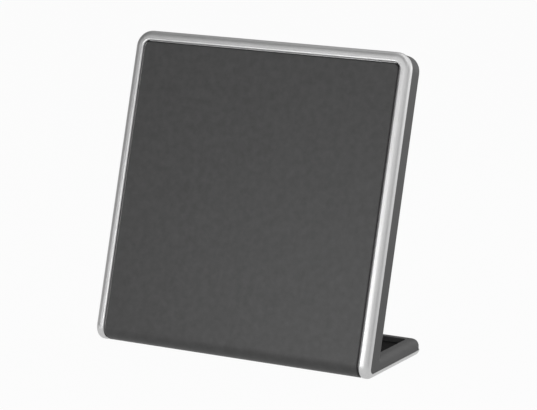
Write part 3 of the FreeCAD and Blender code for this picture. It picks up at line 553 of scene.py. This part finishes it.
# coaxial socket: a turned barrel with a real 3/8-32 screw thread; depths run from the front face to the back
socket = {
    "axisFoot": (0.02, -0.025566, 0.039253),
    "lean": 16.4,
    "bore": 3.4,
    "boreFloor": 8.0,
    "tail": 6.6,
    "tailHole": 1.2,
    "shoulder": 6.2,
    "shoulderEnd": 14.0,
    "relief": 4.3625,
    "threadStart": 19.15,
    "threadEnd": 26.9,
    "mouth": 27.3,
    "crest": 4.7625,
    "root": 4.33,
    "pitch": 0.79375,
    "rootFlat": 0.1,  # shares of the pitch
    "crestStart": 0.45,
    "leadIn": 1.5,  # turns before the thread's start, cut off again
    "spareTurns": 2,
    "runOut": 0.05,
    "mouthChamfer": 0.2,
    "noseIn": 0.12,
    "noseBack": 0.1,
    "stepsPerTurn": 32,
}
socketTilt = Matrix.Rotation(-math.radians(90 + socket["lean"]), 4, "X")
socketPlace = Matrix.Translation(socket["axisFoot"]) @ socketTilt
thread = bmesh.new()
pitch = socket["pitch"]
flank = [
    (socket["root"], 0.0),
    (socket["root"], socket["rootFlat"] * pitch),
    (socket["crest"], socket["crestStart"] * pitch),
    (socket["crest"], (1 - socket["crestStart"]) * pitch),
    (socket["root"], (1 - socket["rootFlat"]) * pitch),
    (socket["root"], pitch),
]
threadLength = socket["threadEnd"] - socket["threadStart"]
turnsNeeded = math.ceil(threadLength / pitch) + socket["spareTurns"]
firstTurn = socket["threadStart"] - socket["leadIn"] * pitch
points = [thread.verts.new((radius, 0, firstTurn + height)) for radius, height in flank]
edges = [thread.edges.new(pair) for pair in zip(points, points[1:])]
bmesh.ops.spin(
    thread, geom=points + edges, cent=(0, 0, 0), axis=(0, 0, 1),
    dvec=(0, 0, pitch / socket["stepsPerTurn"]),
    angle=2 * math.pi * turnsNeeded, steps=socket["stepsPerTurn"] * turnsNeeded,
)
bmesh.ops.remove_doubles(thread, verts=thread.verts[:], dist=meshing["merge"])
for height, clear in ((socket["threadStart"], "clear_inner"), (socket["threadEnd"], "clear_outer")):
    bmesh.ops.bisect_plane(
        thread, geom=thread.verts[:] + thread.edges[:] + thread.faces[:], dist=meshing["cut"],
        plane_co=(0, 0, height), plane_no=(0, 0, 1), **{clear: True},
    )
reliefTop = socket["threadStart"] - socket["runOut"]
noseStart = socket["threadEnd"] + socket["runOut"]
barrel = [
    (socket["relief"], reliefTop), (socket["relief"], socket["shoulderEnd"]),
    (socket["shoulder"], socket["shoulderEnd"]), (socket["shoulder"], socket["tail"]),
    (socket["tailHole"], socket["tail"]), (socket["tailHole"], socket["boreFloor"]),
    (socket["bore"], socket["boreFloor"]), (socket["bore"], socket["mouth"] - socket["mouthChamfer"]),
    (socket["bore"] + socket["mouthChamfer"], socket["mouth"]),
    (socket["relief"] - socket["noseIn"], socket["mouth"]),
    (socket["relief"], socket["mouth"] - socket["noseBack"]), (socket["relief"], noseStart),
]
turnProfile(thread, barrel, socket["stepsPerTurn"])
for threadRim, barrelRim in ((socket["threadStart"], reliefTop), (socket["threadEnd"], noseStart)):
    bmesh.ops.bridge_loops(thread, edges=rimAt(thread, threadRim) + rimAt(thread, barrelRim))
addPiece("socketBarrel", thread, nickelPlate, "coax_socket_body", socketPlace)

# hexagon nut: its corners are turned off at 30 degrees, which leaves a curved edge along each flat
nut = {
    "acrossFlats": 11.1,
    "low": 16.5,
    "high": 18.9,
    "bore": 4.4625,
    "boreChamfer": 0.15,
    "washerFace": 5.3,
    "cornerSlope": 0.577,
    "cutsPerFlat": 9,
}
hexagon = bmesh.new()
bmesh.ops.create_circle(hexagon, cap_ends=False, segments=6, radius=nut["acrossFlats"] / math.sqrt(3))
bmesh.ops.subdivide_edges(hexagon, edges=hexagon.edges[:], cuts=nut["cutsPerFlat"])
halfHeight = (nut["high"] - nut["low"]) / 2
# four rings grow inwards: the edge of the corners, the washer face, the chamfer and the bore
ring = hexagon.edges[:]
rings = []
for step in range(4):
    grown = bmesh.ops.extrude_edge_only(hexagon, edges=ring)["geom"]
    ring = [item for item in grown if isinstance(item, bmesh.types.BMEdge)]
    rings.append([item for item in grown if isinstance(item, bmesh.types.BMVert)])
for vert in rings[0]:
    drop = (vert.co.length - nut["washerFace"]) * nut["cornerSlope"]
    vert.co.z = halfHeight - drop
for verts, radius, height in (
    (rings[1], nut["washerFace"], halfHeight),
    (rings[2], nut["bore"] + nut["boreChamfer"], halfHeight),
    (rings[3], nut["bore"], 0.0),
):
    for vert in verts:
        vert.co = vert.co.normalized() * radius
        vert.co.z = height
bmesh.ops.mirror(
    hexagon, geom=hexagon.verts[:] + hexagon.edges[:] + hexagon.faces[:], merge_dist=meshing["samePlace"],
    axis="Z",
)
nutPlace = socketPlace @ Matrix.Translation((0, 0, (nut["low"] + nut["high"]) / 2 * millimetre))
addPiece("socketNut", hexagon, nickelPlate, "coax_socket_nut", nutPlace)

# washer: stamped, so its outer edge is rolled over on one side
washer = {
    "outer": 7.4,
    "bore": 4.4625,
    "low": 15.8,
    "high": 16.5,
    "roll": 0.22,
    "rollSteps": 3,
    "steps": 64,
}
ringMesh = bmesh.new()
section = [
    (washer["bore"], washer["low"]), (washer["outer"], washer["low"]),
    (washer["outer"], washer["high"]), (washer["bore"], washer["high"]), (washer["bore"], washer["low"]),
]
turnProfile(ringMesh, section, washer["steps"])
rolled = [
    edge for edge in ringMesh.edges
    if all(
        abs(vert.co.z - washer["high"]) < meshing["samePlace"]
        and abs(vert.co.xy.length - washer["outer"]) < meshing["samePlace"]
        for vert in edge.verts
    )
]
bmesh.ops.bevel(
    ringMesh, geom=rolled, offset=washer["roll"], segments=washer["rollSteps"], profile=0.5,
    affect="EDGES", material=-1,
)
addPiece("socketWasher", ringMesh, nickelPlate, "coax_socket_washer", socketPlace)

# rubber feet: pressed discs with a rounded edge and a hollow that leaves a ring to stand on
feet = {
    "radius": 5.0,
    "height": 1.6,
    "edge": [(5.0, 1.6), (5.0, 0.55), (4.88, 0.25), (4.6, 0.06), (4.25, 0.0)],
    "hollow": [(3.4, 0.0), (3.0, 0.12), (2.4, 0.3), (0.0, 0.34)],
    "steps": 48,
}
lowCorner, highCorner = (Vector(corner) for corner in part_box("rubber_feet"))
inset = feet["radius"] * millimetre
footMesh = bmesh.new()
turnProfile(footMesh, [(0.0, feet["height"])] + feet["edge"] + feet["hollow"], feet["steps"])
first = footMesh.verts[:] + footMesh.edges[:] + footMesh.faces[:]
corners = [
    (across, along)
    for across in (lowCorner.x + inset, highCorner.x - inset)
    for along in (lowCorner.y + inset, highCorner.y - inset)
]
for across, along in corners:
    copied = bmesh.ops.duplicate(footMesh, geom=first)["geom"]
    copiedVerts = [item for item in copied if isinstance(item, bmesh.types.BMVert)]
    bmesh.ops.translate(footMesh, vec=(across / millimetre, along / millimetre, 0), verts=copiedVerts)
firstVerts = [item for item in first if isinstance(item, bmesh.types.BMVert)]
bmesh.ops.delete(footMesh, geom=firstVerts, context="VERTS")
addPiece("pressedFeet", footMesh, padRubber, "rubber_feet", Matrix())
print("pieces made")

# studio: softboxes in front for the panel's sheen, others behind for the frame, and a white paper floor;
# places and sides are in metres, powers in watts
studio = {
    "floorSide": 60.0,
    "floorWhite": 0.965,  # the rest is lit paper, which keeps the object's shadow
    "paper": "#8c8c8c",
    "roomLevel": 0.248,
    "aim": (0, -0.014, 0.088),
    "keyPlace": (-0.2, -0.6, 0.15),
    "keySide": 0.2,
    "keyPower": 0.811,
    "lowPlace": (0.0, -0.8, 0.15),
    "lowSide": 0.4,
    "lowPower": 0.986,
    "highPlace": (-0.15, -0.75, 0.8),
    "highSide": 0.6,
    "highPower": 1.216,
    "fillPlace": (0.75, -0.85, 0.4),
    "fillSide": 1.4,
    "fillPower": 4.58,
    "backPlace": (0.75, 0.85, 0.25),
    "backSide": 0.6,
    "backPower": 0.956,
    "edgePlace": (0.32, 0.3, 0.42),
    "edgeSide": 0.8,
    "edgePower": 1.75,
    "rimPlace": (0.45, 0.15, 0.7),
    "rimSide": 0.4,
    "rimPower": 0.3,
    "topPlace": (-0.1, 0.35, 1.2),
    "topSide": 1.0,
    "topPower": 1.768,
}

floorMesh = bmesh.new()
bmesh.ops.create_grid(floorMesh, x_segments=1, y_segments=1, size=studio["floorSide"] / 2)
floorData = bpy.data.meshes.new("studioFloor")
floorMesh.to_mesh(floorData)
floorMesh.free()
floor = bpy.data.objects.new("studioFloor", floorData)
bpy.context.scene.collection.objects.link(floor)

floorPaper = bpy.data.materials.new("whitePaper")
floorPaper.use_nodes = True
tree = floorPaper.node_tree
tree.nodes.clear()
path = addNode(tree, "ShaderNodeLightPath")
seen = addNode(
    tree, "ShaderNodeMath", None,
    {0: path.outputs["Is Camera Ray"], 1: path.outputs["Is Glossy Ray"]}, operation="MAXIMUM",
)
seen = addNode(
    tree, "ShaderNodeMath", None,
    {0: seen.outputs[0], 1: path.outputs["Is Transmission Ray"]}, operation="MAXIMUM",
)
share = addNode(
    tree, "ShaderNodeMath", {1: studio["floorWhite"]}, {0: seen.outputs[0]}, operation="MULTIPLY"
)
paper = addNode(tree, "ShaderNodeBsdfDiffuse", {"Color": linear(studio["paper"])})
glow = addNode(tree, "ShaderNodeEmission", {"Color": linear("#ffffff"), "Strength": 1.0})
mixed = addNode(
    tree, "ShaderNodeMixShader", None, {0: share.outputs[0], 1: paper.outputs[0], 2: glow.outputs[0]}
)
addNode(tree, "ShaderNodeOutputMaterial", links={"Surface": mixed.outputs[0]})
floorData.materials.append(floorPaper)

world = bpy.data.worlds.new("studioRoom")
bpy.context.scene.world = world
world.use_nodes = True
tree = world.node_tree
tree.nodes.clear()
room = addNode(tree, "ShaderNodeBackground", {"Color": linear("#ffffff"), "Strength": studio["roomLevel"]})
addNode(tree, "ShaderNodeOutputWorld", links={"Surface": room.outputs[0]})

aim = Vector(studio["aim"])
for name in ("key", "low", "high", "fill", "back", "edge", "rim", "top"):
    lamp = bpy.data.lights.new(name + "Softbox", "AREA")
    lamp.shape = "SQUARE"
    lamp.size = studio[name + "Side"]
    lamp.energy = studio[name + "Power"]
    holder = bpy.data.objects.new(name + "Softbox", lamp)
    holder.location = studio[name + "Place"]
    holder.rotation_mode = "QUATERNION"
    holder.rotation_quaternion = (aim - holder.location).to_track_quat("-Z", "Y")
    bpy.context.scene.collection.objects.link(holder)
print("studio lit")

# camera: the photograph's viewpoint
shot = {
    "azimuth": 30.09,
    "elevation": 12.38,
    "distance": 1.5139,
    "target": (0.0, -0.01404, 0.08839),
    "slideRight": 0.01353,
    "slideUp": -0.00064,
    "lens": 178.25,
    "clipStart": 0.05,
    "clipEnd": 50,
}
azimuth = math.radians(shot["azimuth"])
elevation = math.radians(shot["elevation"])
back = Vector((
    math.sin(azimuth) * math.cos(elevation), -math.cos(azimuth) * math.cos(elevation), math.sin(elevation)
))
right = Vector((math.cos(azimuth), math.sin(azimuth), 0))
up = back.cross(right)
cameraData = bpy.data.cameras.new("photoCamera")
cameraData.lens = shot["lens"]
cameraData.clip_start = shot["clipStart"]
cameraData.clip_end = shot["clipEnd"]
camera = bpy.data.objects.new("photoCamera", cameraData)
camera.location = Vector(shot["target"]) + back * shot["distance"]
lookAt = Vector(shot["target"]) + right * shot["slideRight"] + up * shot["slideUp"]
camera.rotation_mode = "QUATERNION"
camera.rotation_quaternion = (lookAt - camera.location).to_track_quat("-Z", "Y")
bpy.context.scene.collection.objects.link(camera)
bpy.context.scene.camera = camera

bpy.context.scene.view_settings.view_transform = "Standard"
